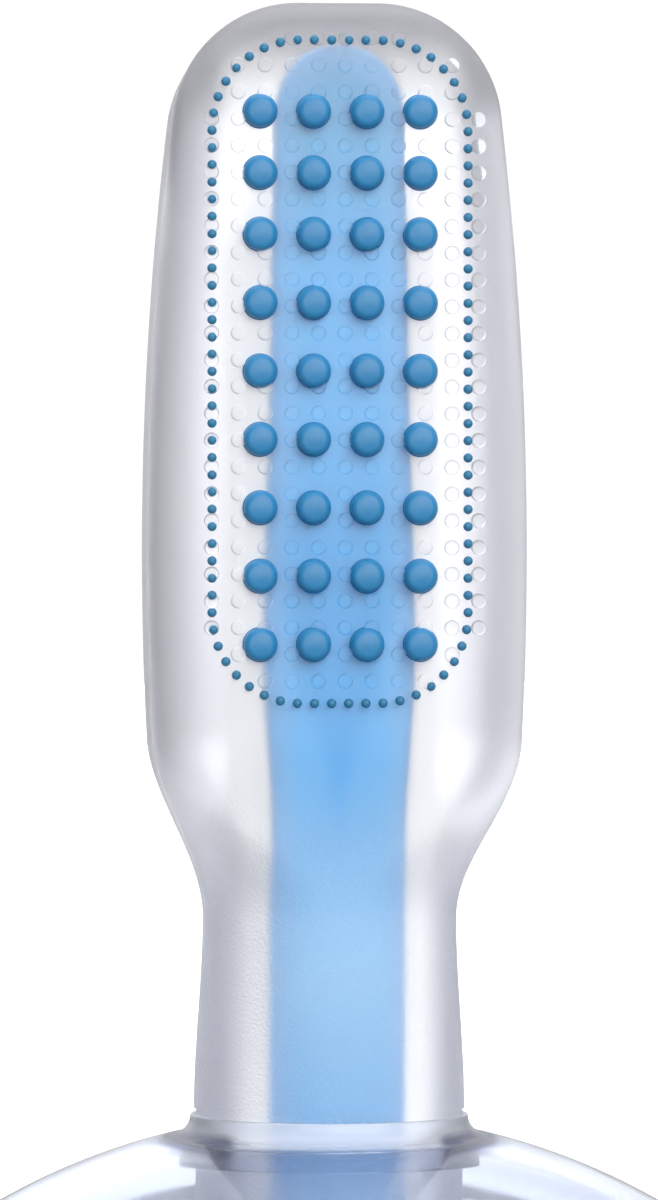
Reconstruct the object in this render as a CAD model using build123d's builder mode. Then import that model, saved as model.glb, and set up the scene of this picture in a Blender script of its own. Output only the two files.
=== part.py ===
"""Finger toothbrush: a clear silicone finger sleeve with a blue spine, blue nubs and a clear guard.

Millimetres, +Z up. The sleeve stands on the rim of its mouth at z = 0, and the origin is the
centre of that rim, on the axis of the finger pocket. The brushing face looks towards -Y.
"""

import os
from math import cos, pi, sin, sqrt

from build123d import *

# ---------------------------------------------------------------- head of the sleeve
total_height = 87.4  # mouth rim to crown
face_depth = 11.2  # axis to the flat brushing face, towards -Y
back_depth = 9.6  # axis to the back of the head, towards +Y
head_half_width = 13.3
widest_height = 49.1
side_radius = 259.0  # long gentle bow of the two sides
crown_radius = 8.75  # the two corners of the crown, seen from the front
front_edge_radius = 2.5
back_edge_radius = 7.8
shoulder_top = 36.15
shoulder_bottom = 23.0

# ---------------------------------------------------------------- neck and base of the sleeve
neck_half_width = 9.0
neck_front = 10.0
neck_back = 9.5
neck_foot = 9.66  # the neck ends this wide, a small step over the base that stops the guard
base_radius = 9.5  # round base that the guard slides on
base_height = 9.4
near_round = 0.16  # straight stretch that a nearly round section keeps
ledge = 0.03  # the lofted neck stays this much inside the head that it meets
rim_rounding = 0.4

# ---------------------------------------------------------------- finger pocket
pocket_radius = 7.6
pocket_length = 70.0  # straight wall; a half sphere closes it

# ---------------------------------------------------------------- blue spine
skin = 0.8  # clear silicone in front of the spine
spine_wall = 0.45  # clear silicone between the spine and the pocket
spine_back = 6.5  # axis to the back of the spine, towards -Y
spine_top = 84.3
spine_neck = (4.75, 29.0)  # half width and height where the straight neck of the spine ends
spine_widest = (5.38, 42.0)
spine_middle = (4.88, 66.0)
spine_crown = (4.66, 78.2)  # the rounded top starts here
spine_turn = (3.49, 82.77)  # half way round it

# ---------------------------------------------------------------- blue nubs
nub_radius = 1.15
nub_height = 1.05
nub_rounding = 0.5
nub_columns = 4
nub_pitch_x = 3.73
nub_rows = 9
first_nub_height = 42.5  # lowest row
nub_pitch_z = 4.76
close_pitch_z = 4.28  # the three top rows stand closer
close_rows = 3

# ---------------------------------------------------------------- blue border beads
bead_radius = 0.3
bead_height = 0.34
bead_rounding = 0.2
border_half_width = 8.94
border_bottom = 38.4
border_top = 84.6
border_corner = 6.26
bead_count = 98

# ---------------------------------------------------------------- clear micro nubs
micro_radius = 0.53
micro_height = 0.28
micro_pitch = 1.865
micro_columns = 9
micro_top = 82.93
micro_rows = 25
micro_field_half_width = 9.2
micro_field_corner = 7.2
micro_gap = 0.03  # least space to a nub or a bead

# ---------------------------------------------------------------- clear guard
guard_clearance = 0.08
guard_outer_radius = 25.0
dome_radius = 48.0
dome_top = 8.85  # height that the dome would reach on the axis
dome_thickness = 1.3
collar_top = 9.0
collar_wall = 0.35
flare_foot = 11.6
hub_wall = 1.15
hub_bottom = 5.0
guard_foot = 0.5  # the guard's rim stays this far above the table

os.makedirs("parts", exist_ok=True)
front_plane = Plane.XZ.offset(face_depth)


def ease(low, high, height):
    """0 below low, 1 above high, and a smooth S between them."""
    share = min(1.0, max(0.0, (height - low) / (high - low)))
    return share * share * (3 - 2 * share)


def head_side(height):
    """Half the width of the head on the long bow of its sides."""
    return head_half_width - side_radius + sqrt(side_radius**2 - (height - widest_height) ** 2)


def sleeve_size(height):
    """Half width, front, back and the two corner radii of the sleeve under the head."""
    share = ease(shoulder_bottom, shoulder_top, height)
    flare = 1 - ease(base_height, shoulder_bottom, height)
    half_width = neck_half_width + (head_side(shoulder_top) - neck_half_width) * share
    half_width += (neck_foot - neck_half_width) * flare
    front = neck_front + (face_depth - neck_front) * share + (neck_foot - neck_front) * flare
    back = neck_back + (back_depth - neck_back) * share + (neck_foot - neck_back) * flare
    round_corner = half_width - near_round / 2
    front_corner = round_corner + (front_edge_radius - round_corner) * ease(0, 1, share**0.6)
    back_corner = round_corner + (back_edge_radius - round_corner) * share
    return half_width, front, back, front_corner, back_corner


def sleeve_section(height, inset):
    """Section of the sleeve at a height, drawn in by an inset on every side."""
    half_width, front, back, front_corner, back_corner = (size - inset for size in sleeve_size(height))
    turn = 1 - sqrt(0.5)
    with BuildSketch(Plane.XY.offset(height)) as section:
        with BuildLine():
            Line((half_width - front_corner, -front), (front_corner - half_width, -front))
            ThreePointArc(
                (front_corner - half_width, -front),
                (turn * front_corner - half_width, turn * front_corner - front),
                (-half_width, front_corner - front),
            )
            Line((-half_width, front_corner - front), (-half_width, back - back_corner))
            ThreePointArc(
                (-half_width, back - back_corner),
                (turn * back_corner - half_width, back - turn * back_corner),
                (back_corner - half_width, back),
            )
            Line((back_corner - half_width, back), (half_width - back_corner, back))
            ThreePointArc(
                (half_width - back_corner, back),
                (half_width - turn * back_corner, back - turn * back_corner),
                (half_width, back - back_corner),
            )
            Line((half_width, back - back_corner), (half_width, front_corner - front))
            ThreePointArc(
                (half_width, front_corner - front),
                (half_width - turn * front_corner, turn * front_corner - front),
                (half_width - front_corner, -front),
            )
        make_face()
    return section.sketch


def neck_heights():
    """Heights of the sections from the base to the shoulder, closer where the shape turns."""
    neck = [base_height + (shoulder_bottom - base_height) * step / 4 for step in range(4)]
    shoulder_steps = 7
    rise = shoulder_top - shoulder_bottom
    return neck + [shoulder_bottom + rise * step / shoulder_steps for step in range(shoulder_steps + 1)]


def border_point(distance):
    """Point on the border's rounded rectangle, counted from the middle of its top."""
    half_top = border_half_width - border_corner
    half_side = (border_top - border_bottom) / 2 - border_corner
    middle = (border_top + border_bottom) / 2
    quarter = border_corner * pi / 2
    if distance <= half_top:
        return distance, border_top
    distance -= half_top
    if distance <= quarter:
        turn = distance / border_corner
        return half_top + border_corner * sin(turn), middle + half_side + border_corner * cos(turn)
    return border_half_width, middle + half_side - (distance - quarter)


def border_points():
    """Even points round the border: one quarter by length, mirrored to the other three."""
    middle = (border_top + border_bottom) / 2
    quarter_length = (
        border_half_width + (border_top - border_bottom) / 2 - 2 * border_corner + border_corner * pi / 2
    )
    pitch = 4 * quarter_length / bead_count
    points = []
    for index in range(bead_count):
        distance = (index + 0.5) * pitch
        side, along = divmod(distance, quarter_length)
        if side % 2:
            along = quarter_length - along
        x, z = border_point(along)
        x_sign = 1 if side < 2 else -1
        z_sign = 1 if side in (0, 3) else -1
        points.append((x_sign * x, middle + z_sign * (z - middle)))
    return points


def row_heights():
    """Heights of the nub rows from the top one down."""
    rows = [first_nub_height]
    for index in range(1, nub_rows):
        close = index > nub_rows - close_rows
        rows.append(rows[-1] + (close_pitch_z if close else nub_pitch_z))
    return rows[::-1]


def nub_points(height):
    """Centres of the nubs in the row at a height."""
    return [((column - (nub_columns - 1) / 2) * nub_pitch_x, height) for column in range(nub_columns)]


def in_micro_field(x, z):
    """True inside the rounded rectangle that holds the micro nubs."""
    half_height = (border_top - border_bottom) / 2
    across = abs(x) - (micro_field_half_width - micro_field_corner)
    along = abs(z - (border_top + border_bottom) / 2) - (half_height - micro_field_corner)
    if across <= 0 or along <= 0:
        return max(across, along) <= micro_field_corner
    return across**2 + along**2 <= micro_field_corner**2


def micro_points(beads, nubs):
    """Grid of the micro nubs, without those that a nub or a bead takes up."""
    kept = []
    for row in range(micro_rows):
        for column in range(micro_columns):
            x = (column - (micro_columns - 1) / 2) * micro_pitch
            z = micro_top - row * micro_pitch
            clear_of_beads = all(
                (x - bx) ** 2 + (z - bz) ** 2 > (micro_radius + bead_radius + micro_gap) ** 2
                for bx, bz in beads
            )
            clear_of_nubs = all(
                (x - nx) ** 2 + (z - nz) ** 2 > (micro_radius + nub_radius + micro_gap) ** 2
                for nx, nz in nubs
            )
            if in_micro_field(x, z) and clear_of_beads and clear_of_nubs:
                kept.append((x, z))
    return kept


bead_spots = border_points()
row_spots = [nub_points(height) for height in row_heights()]
micro_spots = micro_points(bead_spots, [spot for row in row_spots for spot in row])

# Spine: the shape seen from the front, bounded by the skin in front and by the pocket behind.
with BuildPart() as core_spine:
    with BuildSketch(Plane.XZ.offset(spine_back)):
        with BuildLine():
            edge = Spline(spine_neck, spine_widest, spine_middle, spine_crown, tangents=((0, 1), (0, 1)))
            crown = Spline(spine_crown, spine_turn, (0, spine_top), tangents=((0, 1), (-1, 0)))
            mirror(edge, about=Plane.YZ)
            mirror(crown, about=Plane.YZ)
            Line((spine_neck[0], 0), spine_neck)
            Line((-spine_neck[0], spine_neck[1]), (-spine_neck[0], 0))
            Line((-spine_neck[0], 0), (spine_neck[0], 0))
        make_face()
    extrude(amount=face_depth - skin - spine_back)

with BuildPart() as spine_envelope:
    loft([sleeve_section(height, skin) for height in neck_heights()])
    with BuildSketch():
        Circle(base_radius - skin)
    extrude(amount=base_height)
    with BuildSketch(Plane.XY.offset(shoulder_top)):
        Rectangle(2 * head_half_width, 2 * (face_depth - skin))
    extrude(amount=total_height - shoulder_top)

with BuildPart() as pocket:
    with BuildSketch():
        Circle(pocket_radius)
    extrude(amount=pocket_length)
    with Locations((0, 0, pocket_length)):
        Sphere(pocket_radius)

with BuildPart() as pocket_keepout:
    with BuildSketch():
        Circle(pocket_radius + spine_wall)
    extrude(amount=pocket_length)
    with Locations((0, 0, pocket_length)):
        Sphere(pocket_radius + spine_wall)

with core_spine:
    add(spine_envelope.part, mode=Mode.INTERSECT)
    add(pocket_keepout.part, mode=Mode.SUBTRACT)
core_spine.part.label = "core_spine"
export_step(core_spine.part, "parts/core_spine.step")

# Sleeve: flat-faced head, lofted shoulder and neck, round base, then the two hollows.
with BuildPart() as finger_sleeve:
    with BuildSketch(front_plane) as head_outline:
        with BuildLine():
            foot = head_side(shoulder_top)
            crown_side = head_side(total_height)
            Line((-foot, shoulder_top), (foot, shoulder_top))
            ThreePointArc((foot, shoulder_top), (head_half_width, widest_height), (crown_side, total_height))
            Line((crown_side, total_height), (-crown_side, total_height))
            ThreePointArc(
                (-crown_side, total_height), (-head_half_width, widest_height), (-foot, shoulder_top)
            )
        make_face()
        fillet(head_outline.vertices().group_by(Axis.Y)[-1], crown_radius)
    extrude(amount=-(face_depth + back_depth))
    long_edges = finger_sleeve.edges().filter_by(lambda edge: edge.center().Z > shoulder_top + 1)
    fillet(long_edges.group_by(Axis.Y)[0], front_edge_radius)
    long_edges = finger_sleeve.edges().filter_by(lambda edge: edge.center().Z > shoulder_top + 1)
    fillet(long_edges.group_by(Axis.Y)[-1], back_edge_radius)

with BuildPart() as neck_body:
    loft([sleeve_section(height, ledge) for height in neck_heights()])

with BuildPart() as base:
    with BuildSketch():
        Circle(base_radius)
    extrude(amount=base_height)
    fillet(base.edges().sort_by(Axis.Z)[0], rim_rounding)

# Each micro nub is the tip of a small sphere that stands in the face.
micro_sphere = (micro_radius**2 + micro_height**2) / (2 * micro_height)
micro_depth = face_depth + micro_height - micro_sphere

with finger_sleeve:
    add(neck_body.part)
    add(base.part)
    with Locations(*[(x, -micro_depth, z) for x, z in micro_spots]):
        Sphere(micro_sphere)
    add(core_spine.part, mode=Mode.SUBTRACT)
    add(pocket.part, mode=Mode.SUBTRACT)
finger_sleeve.part.label = "finger_sleeve"
export_step(finger_sleeve.part, "parts/finger_sleeve.step")

# Nub rows: four blue nubs each, moulded onto the face.
for number, spots in enumerate(row_spots, start=1):
    with BuildPart() as nub_row:
        with BuildSketch(front_plane):
            with Locations(*spots):
                Circle(nub_radius)
        extrude(amount=nub_height)
        fillet(nub_row.edges().group_by(Axis.Y)[0], nub_rounding)
    nub_row.part.label = f"nub_row_{number}"
    export_step(nub_row.part, f"parts/nub_row_{number}.step")

# Border beads: small blue beads round the field of nubs.
with BuildPart() as border_beads:
    with BuildSketch(front_plane):
        with Locations(*bead_spots):
            Circle(bead_radius)
    extrude(amount=bead_height)
    fillet(border_beads.edges().group_by(Axis.Y)[0], bead_rounding)
border_beads.part.label = "border_beads"
export_step(border_beads.part, "parts/border_beads.step")

# Guard: a clear dome with a hub, turned about the axis, that slides off the base downwards.
with BuildPart() as bite_guard:
    bore = base_radius + guard_clearance
    dome_centre = dome_top - dome_radius
    inner_radius = dome_radius - dome_thickness
    foot_top = dome_centre + sqrt(dome_radius**2 - flare_foot**2)
    rim_top = dome_centre + sqrt(dome_radius**2 - guard_outer_radius**2)
    inner_foot = sqrt(inner_radius**2 - (guard_foot - dome_centre) ** 2)
    hub_radius = bore + hub_wall
    hub_top = dome_centre + sqrt(inner_radius**2 - hub_radius**2)
    mid_radius = (flare_foot + guard_outer_radius) / 2
    mid_top = dome_centre + sqrt(dome_radius**2 - mid_radius**2)
    inner_mid = (hub_radius + inner_foot) / 2
    inner_mid_top = dome_centre + sqrt(inner_radius**2 - inner_mid**2)
    with BuildSketch(Plane.XZ) as profile:
        with BuildLine():
            Line((bore, hub_bottom), (bore, collar_top))
            Line((bore, collar_top), (bore + collar_wall, collar_top))
            ThreePointArc(
                (bore + collar_wall, collar_top),
                (bore + collar_wall + 0.35, foot_top + 0.42),
                (flare_foot, foot_top),
            )
            ThreePointArc((flare_foot, foot_top), (mid_radius, mid_top), (guard_outer_radius, rim_top))
            ThreePointArc(
                (guard_outer_radius, rim_top),
                (guard_outer_radius + 0.45, (rim_top + guard_foot) / 2 - 0.05),
                (inner_foot, guard_foot),
            )
            ThreePointArc((inner_foot, guard_foot), (inner_mid, inner_mid_top), (hub_radius, hub_top))
            Line((hub_radius, hub_top), (hub_radius, hub_bottom))
            Line((hub_radius, hub_bottom), (bore, hub_bottom))
        make_face()
    revolve(axis=Axis.Z)
bite_guard.part.label = "bite_guard"
export_step(bite_guard.part, "parts/bite_guard.step")

print("micro nubs", len(micro_spots), "beads", len(bead_spots))
print("nub rows at", [round(row[0][1], 2) for row in row_spots])
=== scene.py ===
from math import cos, pi, radians, sin, sqrt

import bmesh
import bpy
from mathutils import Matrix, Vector


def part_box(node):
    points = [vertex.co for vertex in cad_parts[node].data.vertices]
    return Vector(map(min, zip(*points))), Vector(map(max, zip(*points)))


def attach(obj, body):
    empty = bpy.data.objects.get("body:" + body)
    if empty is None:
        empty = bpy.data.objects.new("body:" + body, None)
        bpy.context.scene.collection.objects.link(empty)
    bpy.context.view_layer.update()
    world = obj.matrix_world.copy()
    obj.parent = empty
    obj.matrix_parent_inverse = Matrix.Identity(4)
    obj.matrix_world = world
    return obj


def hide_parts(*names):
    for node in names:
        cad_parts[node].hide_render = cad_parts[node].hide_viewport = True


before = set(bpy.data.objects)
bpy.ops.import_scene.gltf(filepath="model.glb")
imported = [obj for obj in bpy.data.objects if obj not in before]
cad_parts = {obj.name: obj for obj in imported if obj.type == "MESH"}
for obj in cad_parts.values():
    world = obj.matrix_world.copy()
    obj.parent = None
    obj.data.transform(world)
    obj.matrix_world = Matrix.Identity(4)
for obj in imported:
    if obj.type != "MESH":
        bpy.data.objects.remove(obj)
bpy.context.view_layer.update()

MM = 0.001

# ---------------------------------------------------------------- sizes, in millimetres
sleeve_high = Vector(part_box("finger_sleeve")[1]) / MM
spine_high = Vector(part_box("core_spine")[1]) / MM
guard_low, guard_high = (Vector(corner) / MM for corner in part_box("bite_guard"))
border_low, border_high = (Vector(corner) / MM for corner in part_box("border_beads"))
nub_rows = [name for name in sorted(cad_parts) if name.startswith("nub_row_")]

TOTAL_HEIGHT = sleeve_high.z
HEAD_HALF_WIDTH = sleeve_high.x
FACE_DEPTH = -border_high.y  # the beads' feet stand on the face
BACK_DEPTH = 9.6
WIDEST_HEIGHT = 49.1
SIDE_RADIUS = 259.0  # bow of the head's sides
CROWN_RADIUS = 8.75
CROWN_CENTRE = (2.8, TOTAL_HEIGHT - CROWN_RADIUS)  # x and height of the right crown corner's centre
CROWN_TILT = sin(radians(6.8))  # where the bowed side meets the crown's corner
CROWN_START = 0.0005  # the sections start this far under the crown
FRONT_EDGE_RADIUS = 2.5
BACK_EDGE_RADIUS = 7.8
SHOULDER_TOP = 36.15
SHOULDER_BOTTOM = 23.0
NECK_HALF_WIDTH = 9.0
NECK_FRONT = 10.0
NECK_BACK = 9.5
NECK_FOOT = 9.66
NECK_FLAT = 0.08  # half width of the flat in the middle of the neck's front and back
BASE_RADIUS = 9.5
BASE_HEIGHT = 9.4
BASE_LEVELS = (BASE_HEIGHT, 8.0, 6.0, 4.0, 2.0, 1.0)
POCKET_RADIUS = 7.6
POCKET_LENGTH = 70.0
RIM_ROUNDING = 0.4
MOUTH_ROUNDING = 0.25
HALF_COLUMNS = 72  # quads in half a ring of the sleeve

SKIN = 0.8  # silicone in front of the spine
SPINE_WALL = 0.45  # silicone between the spine and the pocket
SPINE_BACK = 6.5
SPINE_FOOT = 0.03
SPINE_THINNEST = 0.2
SPINE_NECK = (4.75, 29.0)  # half width and height at a station
SPINE_WIDEST = (5.38, 42.0)
SPINE_MIDDLE = (4.88, 66.0)
SPINE_CROWN = (4.66, 78.2)
SPINE_STATIONS = (SPINE_NECK, SPINE_WIDEST, SPINE_MIDDLE, SPINE_CROWN)
SPINE_TOP_POWER = 2.4  # 2 is an ellipse, more is squarer
SPINE_SQUARE = 0.45  # 1 is an oval section, less is squarer

NUB_RADIUS = 1.15
NUB_HEIGHT = 1.05
NUB_EDGE = 0.5
NUB_SKIRT = 0.08
NUB_PITCH_X = 3.73
NUB_ROOT = 0.05  # how far a nub or bead reaches into the face
NUB_CROWN = 0.06  # share of its height that its top is crowned
BEAD_RADIUS = 0.3
BEAD_HEIGHT = 0.34
BEAD_EDGE = 0.2
BEAD_SKIRT = 0.03
BEAD_COUNT = 98
BORDER_CORNER = 6.26
MICRO_RADIUS = 0.53
MICRO_HEIGHT = 0.2
MICRO_EDGE = 0.14
MICRO_PITCH = 1.865
MICRO_TOP = 84.7
MICRO_ROWS = 26
MICRO_COLUMNS = 11
MICRO_OFFSET_X = 0.35
MICRO_FIELD = (9.8, 23.4, 7.4)  # half width, half height and corner radius
MICRO_OVERLAP = 0.1  # a micro nub whose centre is this far inside a blue nub is left out
SHARP_ANGLE = 30.0

GUARD_RADIUS = 25.0
GUARD_SEGMENTS = 160
RIM_INSET = 0.2
RIM_BULGE = 0.65
DOME_RADIUS = 48.0
DOME_TOP = 8.85  # of the whole sphere, over the bore
DOME_THICKNESS = 1.3
COLLAR_WALL = 0.35
COLLAR_DROP = 0.15  # from the collar's lip to where its flare starts
FLARE_FOOT = 11.6
GUARD_BORE = 9.58
HUB_RADIUS = GUARD_BORE + 1.15
HUB_BOTTOM = 5.0
HUB_TOP = 6.35

# ---------------------------------------------------------------- light
ROOM_LIGHT = 0.12
ROOM_TINT = (0.95, 0.97, 1.08)
SEEN_WHITE = 1.05  # what the camera sees behind the brush
GLOWS = (  # direction, cosines where the glow starts and is full, strength
    ((-0.10, 1.0, 0.0), 0.78, 0.97, 2.5),
    ((0.15, -1.0, 0.0), 0.7, 0.97, 2.8),
    ((0.0, 0.35, 0.94), 0.35, 0.92, 2.0),
)
MIRROR_DIMMING = 0.75  # how much less of the glows is mirrored than is let through
FLOOR_SIZE = 6.0  # metres
FLOOR_SEEN = 0.95  # the floor's white for the camera
FLOOR_BEHIND = 0.22  # for light that is mirrored or goes through the brush
FLOOR_BOUNCE = 0.12  # for light that lands on a matt surface
FLOOR_LIFT = 0.12  # light that the floor gives off for the camera
LAMP_TARGET = (0.0, 0.0, 0.045)
SUN_DIRECTION = (0.0, 0.15, 1.0)
SUN_STRENGTH = 1.1
SUN_SPREAD = 60  # degrees

# ---------------------------------------------------------------- camera, in metres
CAMERA_DISTANCE = 0.45
CAMERA_TURN = radians(-4.0)
CAMERA_HEIGHT = 0.0456
VIEW_HEIGHT = 0.0857
SENSOR_HEIGHT = 24.0  # millimetres

# ---------------------------------------------------------------- finishes
SILICONE_IOR = 1.41
SILICONE_BODY = (0.80, 0.80, 0.82)  # what thick silicone lets through
SILICONE_DENSITY = 135.0
SILICONE_COLOURS = ((0.93, 0.94, 0.96), (0.98, 0.98, 0.99))
HEAD_CLEARNESS = 0.92
NECK_CLEARNESS = 0.84
HEAD_ROUGHNESS = 0.36
NECK_ROUGHNESS = 0.6
GRAIN_ROUGHNESS = 0.1
HEAD_SPECKLE = 0.15
NECK_SPECKLE = 0.6  # more than on the head
SPECKLE_DEPTH = 0.00012  # metres
# painted shade: grey for the neck's flanks, for the darker edges that light gives the clear neck
NECK_FLANK_PAINTED_SHADE = (0.63, 0.645, 0.70)
POCKET_MILKINESS = 0.7
MILKINESS = 0.45
MILK_EDGE = (5.8, 8.3)  # from where to where it fades, from the middle
MILK_WIDENING = 1.0  # in the head
MILK_DEPTH = (3.0, 6.0)  # from where to where it grows, towards the face
MILK_TOP = (81.0, 85.5)
SPINE_BLUR = 0.09  # softness of the spine's outline, as a share of its half width

CORE_COLOURS_AND_PAINTED_LIGHT = (  # share of the spine's height, colour
    # painted light: the two pale stops at the foot, where the guard covers the spine
    (0.0, (0.30, 0.55, 0.80)),
    (0.085, (0.30, 0.55, 0.80)),
    (0.105, (0.05, 0.33, 0.64)),
    (0.16, (0.12, 0.41, 0.69)),
    (0.22, (0.18, 0.46, 0.72)),
    (0.32, (0.12, 0.43, 0.74)),
    (0.42, (0.05, 0.42, 0.81)),
    (0.50, (0.06, 0.44, 0.84)),
    (0.82, (0.08, 0.46, 0.85)),
    (0.92, (0.09, 0.42, 0.72)),
    (1.0, (0.04, 0.22, 0.40)),
)
CORE_MOTTLE = 0.08
CORE_DEEP = (0.0, 0.36, 0.76)  # in the wedge
CORE_RIM = (0.26, 0.44, 0.72)
CORE_RIM_SHARE = 0.55
WEDGE_FOOT = 30.5
WEDGE_SLOPE = 0.28  # half width gained for each millimetre of height
WEDGE_BLUR = 0.9
WEDGE_TOP = (46.0, 58.0)
NUB_COLOURS = ((0.016, 0.19, 0.41), (0.024, 0.22, 0.46))
NUB_ROUGHNESS = 0.35
BEAD_COLOURS = ((0.016, 0.16, 0.30), (0.024, 0.19, 0.34))
BEAD_ROUGHNESS = 0.4

PLASTIC_IOR = 1.49
PLASTIC_HAZE = 0.06
GUARD_SMOKE = (0.38, 0.43, 0.58)  # what thick plastic lets through
GUARD_DENSITY = 230.0
CLEAR_TINT = (0.90, 0.93, 0.98)
COLLAR_CLEARNESS = 0.72
COLLAR_HAZE = 0.18
HUB_TINT = (0.92, 0.95, 1.0)
HUB_SIDE_PAINTED_SHADE = (0.03, 0.05, 0.16)  # painted dark shade at both sides of the hub, for the dark that refraction shows there; painted left and right only, though the guard is round
PAINTED_SHADE_SIDE = (6.8, 7.8)  # from where to where it grows, from the middle
PAINTED_SHADE_REACH = (13.5, 11.5)  # from where to where it grows, towards the axis
PAINTED_SHADE_TOP = (8.2, 7.4)


# ---------------------------------------------------------------- mesh helpers
def make_object(name, verts, faces, material, smooth=True):
    """A mesh object from points in millimetres."""
    mesh = bpy.data.meshes.new(name)
    mesh.from_pydata([(x * MM, y * MM, z * MM) for x, y, z in verts], [], faces)
    mesh.materials.append(material)
    piece = bpy.data.objects.new(name, mesh)
    bpy.context.scene.collection.objects.link(piece)
    work = bmesh.new()
    work.from_mesh(mesh)
    bmesh.ops.recalc_face_normals(work, faces=work.faces)
    work.to_mesh(mesh)
    work.free()
    for polygon in mesh.polygons:
        polygon.use_smooth = smooth
    return piece


def bridge_rings(start, count, rings):
    """Quads between closed rings of equal count whose points follow each other in the list."""
    faces = []
    for ring in range(rings - 1):
        low = start + ring * count
        high = low + count
        for index in range(count):
            after = (index + 1) % count
            faces.append((low + index, low + after, high + after, high + index))
    return faces


def resample(points, spots):
    """Points at the given shares of a polyline's length."""
    lengths = [0.0]
    for before, after in zip(points, points[1:]):
        lengths.append(lengths[-1] + sqrt(sum((b - a) ** 2 for a, b in zip(before, after))))
    found = []
    at = 0
    for share in spots:
        target = share * lengths[-1]
        while at < len(points) - 2 and lengths[at + 1] < target:
            at += 1
        span = lengths[at + 1] - lengths[at]
        part = 0.0 if span <= 0 else (target - lengths[at]) / span
        before, after = points[at], points[at + 1]
        found.append(tuple(a + (b - a) * part for a, b in zip(before, after)))
    return found


def nub_profile(radius, height, edge, skirt, steps):
    """Radius and height pairs of a nub: fillet at its foot, wall, round edge and crowned top."""
    pairs = [(radius + skirt, -NUB_ROOT)]
    if skirt:
        for step in range(4):
            turn = pi / 2 * step / 3
            pairs.append((radius + skirt * (1 - sin(turn)), skirt * (1 - cos(turn))))
    crown = NUB_CROWN * height
    for step in range(steps + 1):
        turn = pi / 2 * step / steps
        pairs.append((radius - edge + edge * cos(turn), height - crown - edge + edge * sin(turn)))
    for step in range(1, 5):
        share = step / 4
        pairs.append(((radius - edge) * (1 - share), height - crown * (1 - share) ** 2))
    return pairs


def add_dome(verts, faces, x, z, profile, segments):
    """One closed nub on the brushing face, added to the lists of a mesh."""
    start = len(verts)
    rings = profile[:-1]
    for across, up in rings:
        for index in range(segments):
            turn = 2 * pi * index / segments
            verts.append((x + across * cos(turn), -FACE_DEPTH - up, z + across * sin(turn)))
    faces += bridge_rings(start, segments, len(rings))
    verts.append((x, -FACE_DEPTH - profile[-1][1], z))
    tip = len(verts) - 1
    last = start + (len(rings) - 1) * segments
    faces += [(last + index, last + (index + 1) % segments, tip) for index in range(segments)]
    verts.append((x, -FACE_DEPTH - profile[0][1], z))
    floor = len(verts) - 1
    faces += [(start + (index + 1) % segments, start + index, floor) for index in range(segments)]


def lathe(name, pairs, segments, material):
    """A closed profile of radius and height pairs, turned about the Z axis."""
    verts, faces = [], []
    for across, up in pairs:
        for index in range(segments):
            turn = 2 * pi * index / segments
            verts.append((across * cos(turn), across * sin(turn), up))
    count = len(pairs)
    for ring in range(count):
        low = ring * segments
        high = (ring + 1) % count * segments
        for index in range(segments):
            after = (index + 1) % segments
            faces.append((low + index, low + after, high + after, high + index))
    return make_object(name, verts, faces, material)


# ---------------------------------------------------------------- material helpers
def new_material(name):
    """A material with its node tree, its Principled node and a place for more nodes."""
    material = bpy.data.materials.new(name)
    material.use_nodes = True
    tree = material.node_tree
    return material, tree, tree.nodes["Principled BSDF"]


def object_noise(tree, scale, detail=3.0, roughness=0.5):
    """Noise in object space; scale is in features per metre."""
    place = tree.nodes.new("ShaderNodeTexCoord")
    texture = tree.nodes.new("ShaderNodeTexNoise")
    texture.inputs["Scale"].default_value = scale
    texture.inputs["Detail"].default_value = detail
    texture.inputs["Roughness"].default_value = roughness
    tree.links.new(place.outputs["Object"], texture.inputs["Vector"])
    return texture.outputs["Fac"]


def ramp(tree, value, low, high, into):
    """Map a 0 to 1 value to a range and send it to a socket."""
    node = tree.nodes.new("ShaderNodeMapRange")
    node.inputs["To Min"].default_value = low
    node.inputs["To Max"].default_value = high
    tree.links.new(value, node.inputs["Value"])
    tree.links.new(node.outputs["Result"], into)


def mix_colours(tree, share, first, second):
    """Mix two colours by a share; each is three numbers or a socket."""
    node = tree.nodes.new("ShaderNodeMix")
    node.data_type = "RGBA"
    tree.links.new(share, node.inputs["Factor"])
    for name, colour in (("A", first), ("B", second)):
        if isinstance(colour, tuple):
            node.inputs[name].default_value = (*colour, 1)
        else:
            tree.links.new(colour, node.inputs[name])
    return node.outputs["Result"]


def absorb(tree, colour, density):
    """Grey the light by the distance that it goes inside the solid."""
    volume = tree.nodes.new("ShaderNodeVolumeAbsorption")
    volume.inputs["Color"].default_value = (*colour, 1)
    volume.inputs["Density"].default_value = density
    tree.links.new(volume.outputs["Volume"], tree.nodes["Material Output"].inputs["Volume"])


def bump(tree, value, strength, distance, shader):
    """Bump from a value, in metres of depth."""
    node = tree.nodes.new("ShaderNodeBump")
    node.inputs["Strength"].default_value = strength
    node.inputs["Distance"].default_value = distance
    tree.links.new(value, node.inputs["Height"])
    tree.links.new(node.outputs["Normal"], shader.inputs["Normal"])


def let_lamps_through(tree, shader):
    """Let the lamps light what is inside or behind a clear shader."""
    path = tree.nodes.new("ShaderNodeLightPath")
    clear = tree.nodes.new("ShaderNodeBsdfTransparent")
    mix = tree.nodes.new("ShaderNodeMixShader")
    tree.links.new(path.outputs["Is Shadow Ray"], mix.inputs["Fac"])
    tree.links.new(shader.outputs["BSDF"], mix.inputs[1])
    tree.links.new(clear.outputs["BSDF"], mix.inputs[2])
    tree.links.new(mix.outputs["Shader"], tree.nodes["Material Output"].inputs["Surface"])


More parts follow.
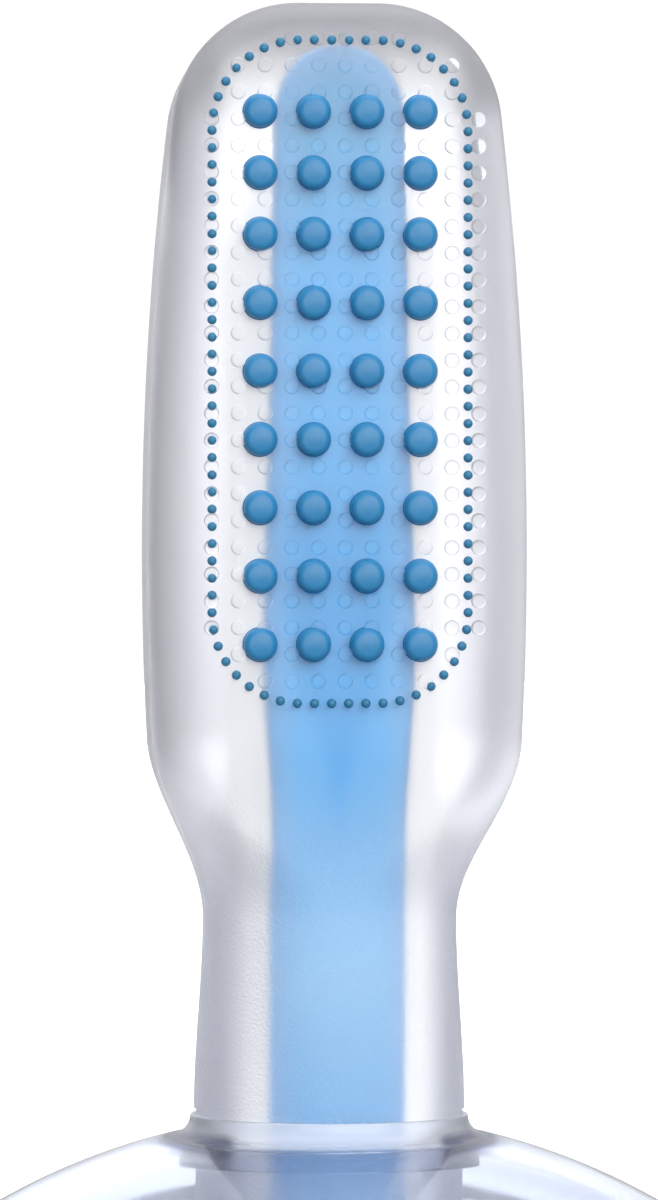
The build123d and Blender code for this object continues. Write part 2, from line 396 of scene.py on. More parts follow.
def smooth_range(tree, value, start, end, low, high):
    """A smooth step of a value from low at start to high at end."""
    node = tree.nodes.new("ShaderNodeMapRange")
    node.interpolation_type = "SMOOTHSTEP"
    node.inputs["From Min"].default_value = start
    node.inputs["From Max"].default_value = end
    node.inputs["To Min"].default_value = low
    node.inputs["To Max"].default_value = high
    tree.links.new(value, node.inputs["Value"])
    return node.outputs["Result"]


def spread(start, end):
    """Both ends of a range, from millimetres to metres."""
    return start * MM, end * MM


def calculate(tree, operation, first, second=None):
    """A math node on sockets or numbers."""
    node = tree.nodes.new("ShaderNodeMath")
    node.operation = operation
    for socket, value in zip(node.inputs, (first, second)):
        if isinstance(value, (int, float)):
            socket.default_value = value
        elif value is not None:
            tree.links.new(value, socket)
    return node.outputs["Value"]


def object_axes(tree):
    """X, Y and Z of a point in object space, in metres."""
    place = tree.nodes.new("ShaderNodeTexCoord")
    split = tree.nodes.new("ShaderNodeSeparateXYZ")
    tree.links.new(place.outputs["Object"], split.inputs["Vector"])
    return [split.outputs[axis] for axis in "XYZ"]


def axis_distance(tree, x, y):
    """Distance from the Z axis."""
    squares = [calculate(tree, "MULTIPLY", side, side) for side in (x, y)]
    return calculate(tree, "SQRT", calculate(tree, "ADD", *squares))


def spine_reach(tree):
    """How far out a point is on the spine: 0 in the middle and 1 at its outline. Also the point's height."""
    across, _, height = object_axes(tree)
    half_width = SPINE_NECK[0] * MM
    for (before, low), (after, high) in zip(SPINE_STATIONS, SPINE_STATIONS[1:]):
        step = smooth_range(tree, height, low * MM, high * MM, 0.0, (after - before) * MM)
        half_width = calculate(tree, "ADD", half_width, step)
    rise = (spine_high.z - SPINE_CROWN[1]) * MM
    up = calculate(tree, "SUBTRACT", height, SPINE_CROWN[1] * MM)
    up = calculate(tree, "DIVIDE", calculate(tree, "MAXIMUM", up, 0.0), rise)
    across = calculate(tree, "DIVIDE", calculate(tree, "ABSOLUTE", across), half_width)
    squares = [calculate(tree, "POWER", share, SPINE_TOP_POWER) for share in (up, across)]
    reach = calculate(tree, "POWER", calculate(tree, "ADD", *squares), 1 / SPINE_TOP_POWER)
    return reach, height


def pocket_wall(tree):
    """1 on the wall of the finger pocket and 0 on the outside of the sleeve."""
    across, depth, height = object_axes(tree)
    reach = POCKET_RADIUS + SPINE_WALL
    near = calculate(tree, "LESS_THAN", axis_distance(tree, across, depth), reach * MM)
    below = calculate(tree, "LESS_THAN", height, (POCKET_LENGTH + reach) * MM)
    return calculate(tree, "MULTIPLY", near, below)


def milky_zone(tree):
    """How milky the silicone is: most at both sides of the spine and in the pocket, not at the flanks."""
    reach, height = spine_reach(tree)
    across, depth, _ = object_axes(tree)
    beside = smooth_range(tree, reach, 1 - SPINE_BLUR, 1 + SPINE_BLUR, 0.0, 1.0)
    widening = smooth_range(tree, height, SHOULDER_BOTTOM * MM, SHOULDER_TOP * MM, 0.0, MILK_WIDENING * MM)
    out = calculate(tree, "SUBTRACT", calculate(tree, "ABSOLUTE", across), widening)
    near = smooth_range(tree, out, MILK_EDGE[0] * MM, MILK_EDGE[1] * MM, 1.0, 0.0)
    front = smooth_range(tree, depth, -MILK_DEPTH[0] * MM, -MILK_DEPTH[1] * MM, 0.0, 1.0)
    under_crown = smooth_range(tree, height, MILK_TOP[0] * MM, MILK_TOP[1] * MM, 1.0, 0.0)
    skin = calculate(tree, "MULTIPLY", calculate(tree, "MULTIPLY", beside, front), under_crown)
    milk = calculate(tree, "MULTIPLY", skin, MILKINESS)
    milk = calculate(tree, "ADD", milk, calculate(tree, "MULTIPLY", pocket_wall(tree), POCKET_MILKINESS))
    return calculate(tree, "MULTIPLY", milk, near), near, height


def frosted_silicone():
    """Frosted silicone: a clear body that greys with thickness, milky beside the spine and in the pocket,
    with painted shade greying the neck's flanks.
    """
    material, tree, shader = new_material("frosted_silicone")
    let_lamps_through(tree, shader)
    absorb(tree, SILICONE_BODY, SILICONE_DENSITY)
    shader.inputs["IOR"].default_value = SILICONE_IOR
    milk, near, height = milky_zone(tree)
    shoulder = (SHOULDER_BOTTOM * MM, SHOULDER_TOP * MM)
    clear = smooth_range(tree, height, *shoulder, NECK_CLEARNESS, HEAD_CLEARNESS)
    tree.links.new(calculate(tree, "SUBTRACT", clear, milk), shader.inputs["Transmission Weight"])
    neck = smooth_range(tree, height, *shoulder, 1.0, 0.0)
    # painted shade on the neck's flanks, outside the milky zone
    painted_flank_shade = calculate(tree, "MULTIPLY", neck, calculate(tree, "SUBTRACT", 1.0, near))
    cloudy = mix_colours(tree, object_noise(tree, 160), *SILICONE_COLOURS)
    tree.links.new(mix_colours(tree, painted_flank_shade, cloudy, NECK_FLANK_PAINTED_SHADE), shader.inputs["Base Color"])
    matt = calculate(tree, "MULTIPLY", neck, NECK_ROUGHNESS - HEAD_ROUGHNESS)
    matt = calculate(tree, "ADD", matt, HEAD_ROUGHNESS)
    grain = calculate(tree, "MULTIPLY", object_noise(tree, 900), GRAIN_ROUGHNESS)
    tree.links.new(calculate(tree, "ADD", matt, grain), shader.inputs["Roughness"])
    speckle = calculate(tree, "ADD", calculate(tree, "MULTIPLY", neck, NECK_SPECKLE), HEAD_SPECKLE)
    relief = tree.nodes.new("ShaderNodeBump")
    relief.inputs["Distance"].default_value = SPECKLE_DEPTH
    tree.links.new(speckle, relief.inputs["Strength"])
    tree.links.new(object_noise(tree, 4500, 2.0), relief.inputs["Height"])
    tree.links.new(relief.outputs["Normal"], shader.inputs["Normal"])
    return material


def deep_wedge(tree, height):
    """The deeper blue wedge in the middle of the spine, which narrows down to the shoulder."""
    across = object_axes(tree)[0]
    up = calculate(tree, "SUBTRACT", height, WEDGE_FOOT * MM)
    half_width = calculate(tree, "MULTIPLY", up, WEDGE_SLOPE)
    out = calculate(tree, "SUBTRACT", calculate(tree, "ABSOLUTE", across), half_width)
    inside = smooth_range(tree, out, WEDGE_BLUR * MM, -WEDGE_BLUR * MM, 0.0, 1.0)
    top = smooth_range(tree, height, WEDGE_TOP[0] * MM, WEDGE_TOP[1] * MM, 1.0, 0.0)
    return calculate(tree, "MULTIPLY", inside, top)


def blue_core():
    """Light blue silicone of the spine, paler at its outline and down the neck, with painted light on its
    foot, where the guard covers it.
    """
    material, tree, shader = new_material("blue_core")
    reach, height = spine_reach(tree)
    tall = tree.nodes.new("ShaderNodeValToRGB")
    stops = tall.color_ramp.elements
    stops[0].position, stops[1].position = CORE_COLOURS_AND_PAINTED_LIGHT[0][0], CORE_COLOURS_AND_PAINTED_LIGHT[-1][0]
    stops[0].color, stops[1].color = (*CORE_COLOURS_AND_PAINTED_LIGHT[0][1], 1), (*CORE_COLOURS_AND_PAINTED_LIGHT[-1][1], 1)
    for place, colour in CORE_COLOURS_AND_PAINTED_LIGHT[1:-1]:
        stops.new(place).color = (*colour, 1)
    mottle = calculate(tree, "SUBTRACT", object_noise(tree, 90), 0.5)
    mottle = calculate(tree, "MULTIPLY", mottle, CORE_MOTTLE)
    along = calculate(tree, "DIVIDE", height, spine_high.z * MM)
    tree.links.new(calculate(tree, "ADD", along, mottle), tall.inputs["Fac"])
    colour = mix_colours(tree, deep_wedge(tree, height), tall.outputs["Color"], CORE_DEEP)
    rim = smooth_range(tree, reach, 0.5, 1.0, 0.0, CORE_RIM_SHARE)
    tree.links.new(mix_colours(tree, rim, colour, CORE_RIM), shader.inputs["Base Color"])
    ramp(tree, object_noise(tree, 500), 0.4, 0.5, shader.inputs["Roughness"])
    bump(tree, object_noise(tree, 1500, 2.0), 0.1, 0.00005, shader)
    return material


def blue_rubber(name, dark, light, roughness):
    """Smooth blue silicone of the nubs and the beads."""
    material, tree, shader = new_material(name)
    shader.inputs["Subsurface Weight"].default_value = 0.1
    shader.inputs["Subsurface Radius"].default_value = (0.2, 0.5, 1.0)
    shader.inputs["Subsurface Scale"].default_value = 0.0006
    colour = mix_colours(tree, object_noise(tree, 400), dark, light)
    tree.links.new(colour, shader.inputs["Base Color"])
    ramp(tree, object_noise(tree, 1500), roughness - 0.05, roughness + 0.05, shader.inputs["Roughness"])
    bump(tree, object_noise(tree, 4000, 2.0), 0.08, 0.00003, shader)
    return material


def clear_plastic():
    """Smoky clear plastic of the guard: hazy in its collar, with painted dark shade at both sides of its
    hub.
    """
    material, tree, shader = new_material("clear_plastic")
    let_lamps_through(tree, shader)
    absorb(tree, GUARD_SMOKE, GUARD_DENSITY)
    shader.inputs["IOR"].default_value = PLASTIC_IOR
    across, depth, height = object_axes(tree)
    out = axis_distance(tree, across, depth)
    above = smooth_range(tree, height, *spread(HUB_TOP, HUB_TOP + 0.3), 0.0, 1.0)
    collar = smooth_range(tree, out, *spread(FLARE_FOOT + 0.8, FLARE_FOOT), 0.0, 1.0)
    collar = calculate(tree, "MULTIPLY", collar, above)
    hub = smooth_range(tree, out, *spread(HUB_RADIUS + 1.2, HUB_RADIUS), 0.0, 1.0)
    hub = calculate(tree, "MULTIPLY", hub, calculate(tree, "SUBTRACT", 1.0, above))
    # painted shade: darkens the plastic left and right of the hub, standing in for the dark that refraction
    # shows in a round guard
    beside = smooth_range(tree, calculate(tree, "ABSOLUTE", across), *spread(*PAINTED_SHADE_SIDE), 0.0, 1.0)
    near = smooth_range(tree, out, *spread(*PAINTED_SHADE_REACH), 0.0, 1.0)
    under = smooth_range(tree, height, *spread(*PAINTED_SHADE_TOP), 0.0, 1.0)
    painted_shade = calculate(tree, "MULTIPLY", calculate(tree, "MULTIPLY", beside, near), under)
    colour = mix_colours(tree, painted_shade, mix_colours(tree, hub, CLEAR_TINT, HUB_TINT), HUB_SIDE_PAINTED_SHADE)
    tree.links.new(colour, shader.inputs["Base Color"])
    ramp(tree, collar, 1.0, COLLAR_CLEARNESS, shader.inputs["Transmission Weight"])
    haze = calculate(tree, "MULTIPLY", collar, COLLAR_HAZE)
    flow = calculate(tree, "MULTIPLY", object_noise(tree, 300), PLASTIC_HAZE)
    tree.links.new(calculate(tree, "ADD", haze, flow), shader.inputs["Roughness"])
    bump(tree, object_noise(tree, 90, 1.0), 0.05, 0.0003, shader)
    return material


# ---------------------------------------------------------------- the sleeve's shape
def ease(low, high, value):
    """0 below low, 1 above high, and a smooth S between them."""
    share = min(1.0, max(0.0, (value - low) / (high - low)))
    return share * share * (3 - 2 * share)


def outline_half_width(height, inset):
    """Half width of the head's outline, drawn in by an inset."""
    radius = CROWN_RADIUS - inset
    if height < CROWN_CENTRE[1] + radius * CROWN_TILT:
        bow = SIDE_RADIUS - inset
        return HEAD_HALF_WIDTH - SIDE_RADIUS + sqrt(bow**2 - (height - WIDEST_HEIGHT) ** 2)
    rise = min(radius, height - CROWN_CENTRE[1])
    return CROWN_CENTRE[0] + sqrt(radius**2 - rise**2)


def edge_inset(depth, radius):
    """How far a rounded edge of a radius is drawn in, at a depth behind its flat face."""
    if depth >= radius:
        return 0.0
    return radius - sqrt(max(0.0, radius**2 - (radius - depth) ** 2))


def head_section(height):
    """Half section of the head at a height, from the middle of the front to the middle of the back."""
    spare = TOTAL_HEIGHT - height
    front = -FACE_DEPTH + (edge_depth_from_top(spare, FRONT_EDGE_RADIUS))
    back = BACK_DEPTH - edge_depth_from_top(spare, BACK_EDGE_RADIUS)
    points = []
    steps = 90
    for step in range(steps + 1):
        share = (1 - cos(pi * step / steps)) / 2
        y = front + (back - front) * share
        inset = edge_inset(y + FACE_DEPTH, FRONT_EDGE_RADIUS) + edge_inset(BACK_DEPTH - y, BACK_EDGE_RADIUS)
        points.append((outline_half_width(height, min(inset, spare)), y))
    return [(0.0, front)] + points + [(0.0, back)]


def edge_depth_from_top(spare, radius):
    """How far the face stands back at this distance under the crown, for a rounded edge."""
    if spare >= radius:
        return 0.0
    return radius - sqrt(max(0.0, radius**2 - (radius - spare) ** 2))


def neck_size(height):
    """Half width, front, back and the two corner radii of the sleeve under the head."""
    share = ease(SHOULDER_BOTTOM, SHOULDER_TOP, height)
    flare = 1 - ease(BASE_HEIGHT, SHOULDER_BOTTOM, height)
    half_width = NECK_HALF_WIDTH + (outline_half_width(SHOULDER_TOP, 0) - NECK_HALF_WIDTH) * share
    half_width += (NECK_FOOT - NECK_HALF_WIDTH) * flare
    front = NECK_FRONT + (FACE_DEPTH - NECK_FRONT) * share + (NECK_FOOT - NECK_FRONT) * flare
    back = NECK_BACK + (BACK_DEPTH - NECK_BACK) * share + (NECK_FOOT - NECK_BACK) * flare
    round_corner = half_width - NECK_FLAT
    front_corner = round_corner + (FRONT_EDGE_RADIUS - round_corner) * ease(0, 1, share**0.6)
    back_corner = round_corner + (BACK_EDGE_RADIUS - round_corner) * share
    return half_width, front, back, front_corner, back_corner


def neck_section(height):
    """Half section of the neck or shoulder at a height."""
    half_width, front, back, front_corner, back_corner = neck_size(height)
    points = [(0.0, -front)]
    steps = 40
    for step in range(steps + 1):
        turn = pi / 2 * step / steps
        points.append(
            (
                half_width - front_corner + front_corner * sin(turn),
                front_corner - front - front_corner * cos(turn),
            )
        )
    for step in range(steps + 1):
        turn = pi / 2 * step / steps
        points.append(
            (
                half_width - back_corner + back_corner * cos(turn),
                back - back_corner + back_corner * sin(turn),
            )
        )
    return points + [(0.0, back)]


def round_section(radius):
    """Half of a circle from the front to the back."""
    steps = 60
    return [(radius * sin(pi * step / steps), -radius * cos(pi * step / steps)) for step in range(steps + 1)]


def full_ring(half, height):
    """A closed ring of even points from a half section."""
    spots = [step / HALF_COLUMNS for step in range(HALF_COLUMNS + 1)]
    right = resample(half, spots)
    ring = [(x, y, height) for x, y in right]
    ring += [(-x, y, height) for x, y in right[-2:0:-1]]
    return ring


def sleeve_rings():
    """Rings of the sleeve from the middle of the crown down the outside, and up inside the pocket."""
    crown = full_ring(head_section(TOTAL_HEIGHT - CROWN_START), TOTAL_HEIGHT)
    middle_y = (crown[0][1] + crown[HALF_COLUMNS][1]) / 2
    rings = []
    for share in (0.25, 0.5, 0.75):
        rings.append([(x * share, middle_y + (y - middle_y) * share, z) for x, y, z in crown])
    crown_steps = 44
    for step in range(crown_steps + 1):
        drop = CROWN_RADIUS * (1 - cos(pi / 2 * step / crown_steps)) + CROWN_START
        rings.append(full_ring(head_section(TOTAL_HEIGHT - drop), TOTAL_HEIGHT - drop))
    low = TOTAL_HEIGHT - CROWN_RADIUS
    head_steps = 60
    for step in range(1, head_steps):
        height = low + (SHOULDER_TOP - low) * step / head_steps
        rings.append(full_ring(head_section(height), height))
    neck_steps = 70
    for step in range(neck_steps + 1):
        height = SHOULDER_TOP + (BASE_HEIGHT - SHOULDER_TOP) * step / neck_steps
        rings.append(full_ring(neck_section(height), height))
    for height in (*BASE_LEVELS, RIM_ROUNDING):
        rings.append(full_ring(round_section(BASE_RADIUS), height))
    edge_steps = 6
    for step in range(1, edge_steps + 1):
        turn = pi / 2 * step / edge_steps
        radius = BASE_RADIUS - RIM_ROUNDING * (1 - cos(turn))
        rings.append(full_ring(round_section(radius), RIM_ROUNDING * (1 - sin(turn))))
    for step in range(edge_steps + 1):
        turn = pi / 2 * step / edge_steps
        radius = POCKET_RADIUS + MOUTH_ROUNDING * (1 - sin(turn))
        rings.append(full_ring(round_section(radius), MOUTH_ROUNDING * (1 - cos(turn))))
    pocket_steps = 40
    for step in range(1, pocket_steps + 1):
        height = MOUTH_ROUNDING + (POCKET_LENGTH - MOUTH_ROUNDING) * step / pocket_steps
        rings.append(full_ring(round_section(POCKET_RADIUS), height))
    cap_steps = 24
    for step in range(1, cap_steps):
        turn = pi / 2 * step / cap_steps
        section = round_section(POCKET_RADIUS * cos(turn))
        rings.append(full_ring(section, POCKET_LENGTH + POCKET_RADIUS * sin(turn)))
    return rings, (0.0, middle_y, TOTAL_HEIGHT), (0.0, 0.0, POCKET_LENGTH + POCKET_RADIUS)


# ---------------------------------------------------------------- places on the brushing face
def border_points():
    """Even points round the border of beads."""
    half_width = border_high.x - BEAD_RADIUS
    low, high = border_low.z + BEAD_RADIUS, border_high.z - BEAD_RADIUS
    middle = (low + high) / 2
    half_height = (high - low) / 2
    flat_x, flat_z = half_width - BORDER_CORNER, half_height - BORDER_CORNER
    steps = 40
    quarter = [(0.0, half_height)]
    for step in range(steps + 1):
        turn = pi / 2 * step / steps
        quarter.append((flat_x + BORDER_CORNER * sin(turn), flat_z + BORDER_CORNER * cos(turn)))
    quarter.append((half_width, 0.0))
    loop = quarter + [(x, -z) for x, z in quarter[-2::-1]]
    loop += [(-x, -z) for x, z in quarter[1:]] + [(-x, z) for x, z in quarter[-2::-1]]
    spots = [(index + 0.5) / BEAD_COUNT for index in range(BEAD_COUNT)]
    return [(x, middle + z) for x, z in resample(loop, spots)]


def nub_points(node):
    """Centres of the four nubs of a row, from the box of its node."""
    low, high = (Vector(corner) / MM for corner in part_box(node))
    height = (low.z + high.z) / 2
    first = low.x + NUB_RADIUS
    return [(first + column * NUB_PITCH_X, height) for column in range(4)]


def in_micro_field(x, z):
    """True inside the rounded field of the clear micro nubs."""
    half_width, half_height, corner = MICRO_FIELD
    across = abs(x - MICRO_OFFSET_X) - (half_width - corner)
    along = abs(z - (border_low.z + border_high.z) / 2) - (half_height - corner)
    if across <= 0 or along <= 0:
        return max(across, along) <= corner
    return across**2 + along**2 <= corner**2


def micro_points(nubs):
    """Grid of the micro nubs, without those that a blue nub covers whole."""
    kept = []
    cover = NUB_RADIUS - MICRO_OVERLAP
    for row in range(MICRO_ROWS):
        for column in range(MICRO_COLUMNS):
            x = MICRO_OFFSET_X + (column - (MICRO_COLUMNS - 1) / 2) * MICRO_PITCH
            z = MICRO_TOP - row * MICRO_PITCH
            covered = any((x - nx) ** 2 + (z - nz) ** 2 < cover**2 for nx, nz in nubs)
            if in_micro_field(x, z) and not covered:
                kept.append((x, z))
    return kept


def join_solids(piece, other):
    """Union a second closed mesh into a piece, with sharp edges where they meet."""
    union = piece.modifiers.new("union", "BOOLEAN")
    union.operation = "UNION"
    union.solver = "EXACT"
    union.object = other
    mesh = bpy.data.meshes.new_from_object(piece.evaluated_get(bpy.context.evaluated_depsgraph_get()))
    piece.modifiers.clear()
    piece.data = mesh
    bpy.data.objects.remove(other)
    mesh.set_sharp_from_angle(angle=radians(SHARP_ANGLE))


# ---------------------------------------------------------------- pieces
def build_sleeve(material, nubs):
    """The sleeve with its pocket, and the micro nubs on its face."""
    rings, crown, pocket_end = sleeve_rings()
    count = 2 * HALF_COLUMNS
    verts = [point for ring in rings for point in ring]
    faces = bridge_rings(0, count, len(rings))
    verts += [crown, pocket_end]
    top, end = len(verts) - 2, len(verts) - 1
    last = (len(rings) - 1) * count
    faces += [((index + 1) % count, index, top) for index in range(count)]
    faces += [(last + index, last + (index + 1) % count, end) for index in range(count)]
    sleeve = make_object("sleeve_body", verts, faces, material)
    dome_verts, dome_faces = [], []
    profile = nub_profile(MICRO_RADIUS, MICRO_HEIGHT, MICRO_EDGE, 0.0, 5)
    for x, z in micro_points(nubs):
        add_dome(dome_verts, dome_faces, x, z, profile, 24)
    join_solids(sleeve, make_object("micro_nubs", dome_verts, dome_faces, material))
    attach(sleeve, "sleeve")
    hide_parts("finger_sleeve")


def sleeve_front(height, x, inset):
    """Depth of the sleeve's front at a height and a distance from the middle, drawn in by an inset."""
    if height >= SHOULDER_TOP:
        return FACE_DEPTH - inset
    if height > BASE_HEIGHT:
        half_width, front, _, corner, _ = neck_size(height)
    else:
        half_width, front, corner = BASE_RADIUS, BASE_RADIUS, BASE_RADIUS
    half_width, front, corner = half_width - inset, front - inset, corner - inset
    past = max(0.0, x - (half_width - corner))
    return front - corner + sqrt(max(0.0, corner**2 - past**2))


def spine_half_width(height):
    """Half width of the spine: a straight neck, a wider head and a rounded top."""
    if height >= SPINE_CROWN[1]:
        rise = (height - SPINE_CROWN[1]) / (spine_high.z - SPINE_CROWN[1])
        return SPINE_CROWN[0] * max(0.0, 1 - rise**SPINE_TOP_POWER) ** (1 / SPINE_TOP_POWER)
    half_width = SPINE_NECK[0]
    for (before, low), (after, high) in zip(SPINE_STATIONS, SPINE_STATIONS[1:]):
        half_width += (after - before) * ease(low, high, height)
    return half_width


def spine_ring(height, half_width, columns):
    """Closed section of the spine: a band with round edges that follows the skin and the pocket."""
    ring = []
    for index in range(columns):
        turn = 2 * pi * index / columns
        across = abs(cos(turn)) ** SPINE_SQUARE * (1 if cos(turn) >= 0 else -1)
        x = half_width * across
        front = sleeve_front(height, abs(x), SKIN)
        keep_out = POCKET_RADIUS + SPINE_WALL
        over = max(0.0, height - POCKET_LENGTH)
        reach = keep_out**2 - x**2 - over**2
        back = max(SPINE_BACK, sqrt(reach)) if reach > 0 else SPINE_BACK
        back = min(back, front - SPINE_THINNEST)
        up = abs(sin(turn)) ** SPINE_SQUARE * (1 if sin(turn) >= 0 else -1)
        ring.append((x, -(front + back) / 2 + up * (front - back) / 2, height))
    return ring


def build_spine(material):
    """The blue spine inside the sleeve."""
    columns = 96
    heights = [SPINE_FOOT, 0.15]
    steps = 110
    heights += [0.5 + (SPINE_CROWN[1] - 0.5) * step / steps for step in range(steps + 1)]
    rise = spine_high.z - SPINE_CROWN[1]
    crown_steps = 20
    heights += [SPINE_CROWN[1] + rise * sin(pi / 2 * step / crown_steps) for step in range(1, crown_steps)]
    verts = []
    for height in heights:
        verts += spine_ring(height, spine_half_width(height), columns)
    faces = bridge_rings(0, columns, len(heights))
    for height, first, order in ((SPINE_FOOT, 0, -1), (spine_high.z, (len(heights) - 1) * columns, 1)):
        middle = len(verts)
        verts.append((0.0, -(sleeve_front(height, 0, SKIN) + SPINE_BACK) / 2, height))
        for index in range(columns):
            pair = (first + index, first + (index + 1) % columns)
            faces.append((*pair[::order], middle))
    spine = make_object("spine_body", verts, faces, material)
    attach(spine, "sleeve")
    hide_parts("core_spine")


def build_nubs(material):
    """One piece for each row of blue nubs."""
    profile = nub_profile(NUB_RADIUS, NUB_HEIGHT, NUB_EDGE, NUB_SKIRT, 8)
    for node in nub_rows:
        verts, faces = [], []
        for x, z in nub_points(node):
            add_dome(verts, faces, x, z, profile, 40)
        row = make_object("nubs_" + node.rsplit("_", 1)[1], verts, faces, material)
        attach(row, "sleeve")
        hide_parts(node)


def build_border(material):
    """The ring of beads."""
    profile = nub_profile(BEAD_RADIUS, BEAD_HEIGHT, BEAD_EDGE, BEAD_SKIRT, 5)
    verts, faces = [], []
    for x, z in border_points():
        add_dome(verts, faces, x, z, profile, 18)
    beads = make_object("beads", verts, faces, material)
    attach(beads, "sleeve")
    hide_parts("border_beads")


def dome_height(sphere_radius, across):
    """Height of the dome's outer or inner sphere at a distance from the axis."""
    return DOME_TOP - DOME_RADIUS + sqrt(sphere_radius**2 - across**2)


def guard_collar():
    """The guard's profile up the bore, over the collar's lip and down its flare."""
    top = guard_high.z
    pairs = [(GUARD_BORE, HUB_BOTTOM + 0.2), (GUARD_BORE, top - 0.12), (GUARD_BORE + 0.06, top - 0.02)]
    pairs += [(GUARD_BORE + 0.18, top), (GUARD_BORE + 0.3, top - 0.05)]
    start = (GUARD_BORE + COLLAR_WALL, top - COLLAR_DROP)
    foot = dome_height(DOME_RADIUS, FLARE_FOOT)
    steps = 10
    for step in range(steps + 1):
        turn = pi / 2 * step / steps
        across = FLARE_FOOT - (FLARE_FOOT - start[0]) * cos(turn)
        pairs.append((across, start[1] - (start[1] - foot) * sin(turn)))
    return pairs


def guard_hub():
    """The guard's profile from the dome's underside down round the hub and back to the bore."""
    under_dome = dome_height(DOME_RADIUS - DOME_THICKNESS, HUB_RADIUS)
    pairs = [(HUB_RADIUS + 0.12, under_dome - 0.1), (HUB_RADIUS, under_dome - 0.35)]
    pairs += [(HUB_RADIUS, HUB_BOTTOM + 0.2), (HUB_RADIUS - 0.06, HUB_BOTTOM + 0.06)]
    pairs += [(HUB_RADIUS - 0.2, HUB_BOTTOM), (GUARD_BORE + 0.2, HUB_BOTTOM)]
    return pairs + [(GUARD_BORE + 0.06, HUB_BOTTOM + 0.06)]


def build_guard(material):
    """The clear guard: dome, flared collar and hub."""
    inner = DOME_RADIUS - DOME_THICKNESS
    pairs = guard_collar()
    steps = 40
    for step in range(1, steps + 1):
        across = FLARE_FOOT + (GUARD_RADIUS - FLARE_FOOT) * step / steps
        pairs.append((across, dome_height(DOME_RADIUS, across)))
    foot, rim_top = guard_low.z, pairs[-1][1]
    rim_middle, rim_radius = (rim_top + foot) / 2, (rim_top - foot) / 2
    rim_steps = 12
    for step in range(1, rim_steps):
        turn = pi / 2 - pi * step / rim_steps
        across = GUARD_RADIUS - RIM_INSET + RIM_BULGE * cos(turn)
        pairs.append((across, rim_middle + rim_radius * sin(turn)))
    inner_foot = sqrt(inner**2 - (foot - DOME_TOP + DOME_RADIUS) ** 2)
    inner_end = HUB_RADIUS + 0.4
    for step in range(steps + 1):
        across = inner_foot + (inner_end - inner_foot) * step / steps
        pairs.append((across, dome_height(inner, across)))
    guard = lathe("guard_shell", pairs + guard_hub(), GUARD_SEGMENTS, material)
    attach(guard, "guard")
    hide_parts("bite_guard")


# ---------------------------------------------------------------- stage, light and camera
def build_stage():
    """White floor, dimmer for the light that it throws back through the brush."""
    bpy.ops.mesh.primitive_plane_add(size=FLOOR_SIZE, location=(0, 0, 0))
    floor = bpy.context.object
    floor.name = "floor"
    material, tree, shader = new_material("floor_white")
    path = tree.nodes.new("ShaderNodeLightPath")
    white = calculate(tree, "MULTIPLY", path.outputs["Is Camera Ray"], FLOOR_SEEN - FLOOR_BEHIND)
    white = calculate(tree, "ADD", white, FLOOR_BEHIND)
    fall = calculate(tree, "MULTIPLY", path.outputs["Is Diffuse Ray"], FLOOR_BEHIND - FLOOR_BOUNCE)
    tree.links.new(calculate(tree, "SUBTRACT", white, fall), shader.inputs["Base Color"])
    shader.inputs["Emission Color"].default_value = (1, 1, 1, 1)
    ramp(tree, path.outputs["Is Camera Ray"], 0.0, FLOOR_LIFT, shader.inputs["Emission Strength"])
    shader.inputs["Roughness"].default_value = 0.9
    floor.data.materials.append(material)


def add_area(name, place, size, watts):
    """A square soft box that points at the brush; sizes in metres."""
    lamp = bpy.data.lights.new(name, "AREA")
    lamp.shape = "RECTANGLE"
    lamp.size = lamp.size_y = size
    lamp.energy = watts
    holder = bpy.data.objects.new(name, lamp)
    bpy.context.scene.collection.objects.link(holder)
    holder.location = place
    aim = Vector(LAMP_TARGET) - Vector(place)
    holder.rotation_euler = aim.to_track_quat("-Z", "Y").to_euler()


def add_sun():
    """Even light from above."""
    lamp = bpy.data.lights.new("overhead", "SUN")
    lamp.energy = SUN_STRENGTH
    lamp.angle = radians(SUN_SPREAD)
    holder = bpy.data.objects.new("overhead", lamp)
    bpy.context.scene.collection.objects.link(holder)
    holder.rotation_euler = Vector(SUN_DIRECTION).to_track_quat("Z", "Y").to_euler()


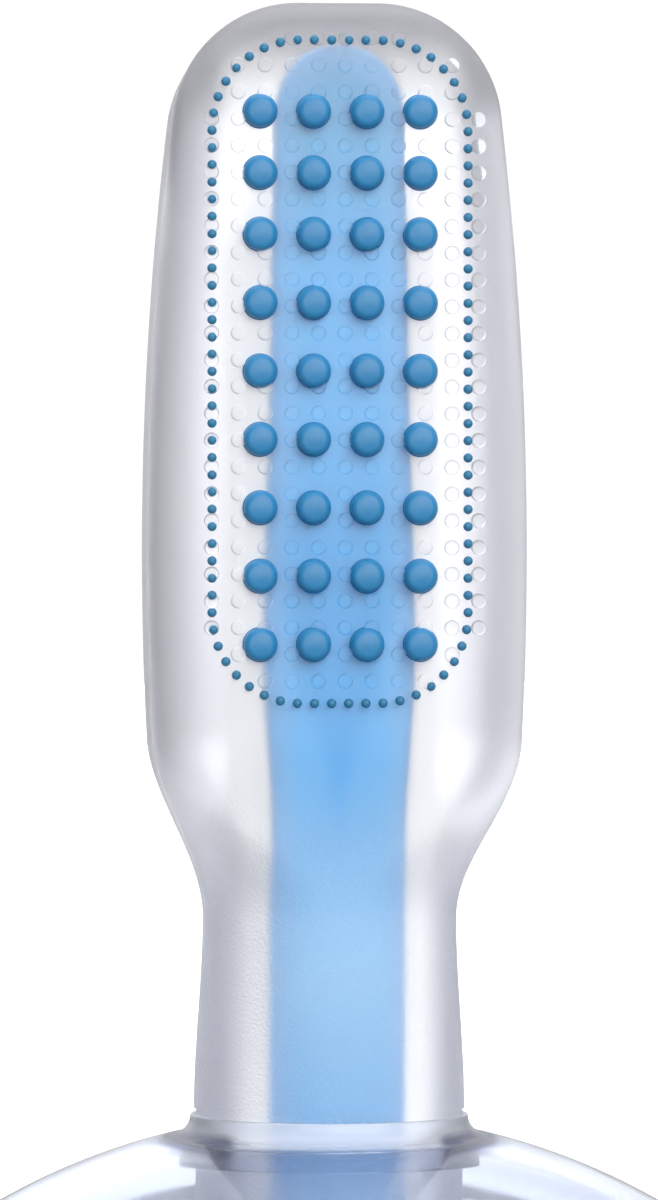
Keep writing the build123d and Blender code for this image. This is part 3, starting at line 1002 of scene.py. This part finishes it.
def build_world():
    """White for the camera; for the light, a glow at the back, front and top of a dim room."""
    world = bpy.data.worlds.new("studio")
    bpy.context.scene.world = world
    world.use_nodes = True
    tree = world.node_tree
    place = tree.nodes.new("ShaderNodeTexCoord")
    glow = 0.0
    for axis, start, end, strength in GLOWS:
        along = tree.nodes.new("ShaderNodeVectorMath")
        along.operation = "DOT_PRODUCT"
        along.inputs[1].default_value = Vector(axis).normalized()
        tree.links.new(place.outputs["Generated"], along.inputs[0])
        light = smooth_range(tree, along.outputs["Value"], start, end, 0.0, strength)
        glow = calculate(tree, "ADD", glow, light)
    path = tree.nodes.new("ShaderNodeLightPath")
    mirrored = calculate(tree, "SUBTRACT", path.outputs["Is Reflection Ray"], path.outputs["Is Diffuse Ray"])
    mirrored = calculate(tree, "MAXIMUM", mirrored, 0.0)
    keep = calculate(tree, "SUBTRACT", 1.0, calculate(tree, "MULTIPLY", mirrored, MIRROR_DIMMING))
    glow = calculate(tree, "MULTIPLY", glow, keep)
    lights = [tree.nodes["Background"]] + [tree.nodes.new("ShaderNodeBackground") for _ in range(2)]
    colours = ((1, 1, 1), ROOM_TINT, (1, 1, 1))
    for light, colour, strength in zip(lights, colours, (glow, ROOM_LIGHT, SEEN_WHITE)):
        light.inputs["Color"].default_value = (*colour, 1)
        if isinstance(strength, float):
            light.inputs["Strength"].default_value = strength
        else:
            tree.links.new(strength, light.inputs["Strength"])
    both = tree.nodes.new("ShaderNodeAddShader")
    tree.links.new(lights[0].outputs["Background"], both.inputs[0])
    tree.links.new(lights[1].outputs["Background"], both.inputs[1])
    seen = tree.nodes.new("ShaderNodeMixShader")
    tree.links.new(path.outputs["Is Camera Ray"], seen.inputs["Fac"])
    tree.links.new(both.outputs["Shader"], seen.inputs[1])
    tree.links.new(lights[2].outputs["Background"], seen.inputs[2])
    tree.links.new(seen.outputs["Shader"], tree.nodes["World Output"].inputs["Surface"])


def build_camera():
    """Level camera a little to the brush's right, framed so that the guard runs out of the picture."""
    camera = bpy.data.cameras.new("camera")
    camera.sensor_fit = "VERTICAL"
    camera.sensor_height = SENSOR_HEIGHT
    camera.lens = SENSOR_HEIGHT * CAMERA_DISTANCE / VIEW_HEIGHT
    camera.clip_start = 0.01
    holder = bpy.data.objects.new("camera", camera)
    bpy.context.scene.collection.objects.link(holder)
    holder.location = (
        CAMERA_DISTANCE * sin(CAMERA_TURN),
        -CAMERA_DISTANCE * cos(CAMERA_TURN),
        CAMERA_HEIGHT,
    )
    aim = Vector((0, 0, CAMERA_HEIGHT)) - holder.location
    holder.rotation_euler = aim.to_track_quat("-Z", "Y").to_euler()
    bpy.context.scene.camera = holder


bpy.context.scene.view_settings.view_transform = "Standard"
all_nubs = [spot for node in nub_rows for spot in nub_points(node)]
build_sleeve(frosted_silicone(), all_nubs)
build_nubs(blue_rubber("blue_nub", *NUB_COLOURS, NUB_ROUGHNESS))
build_border(blue_rubber("blue_bead", *BEAD_COLOURS, BEAD_ROUGHNESS))
build_guard(clear_plastic())
build_spine(blue_core())
build_stage()
build_world()
add_area("key", (0.24, -0.62, 0.38), 0.6, 2.8)
add_area("fill", (-0.15, -0.65, 0.12), 0.3, 0.6)
add_sun()
build_camera()
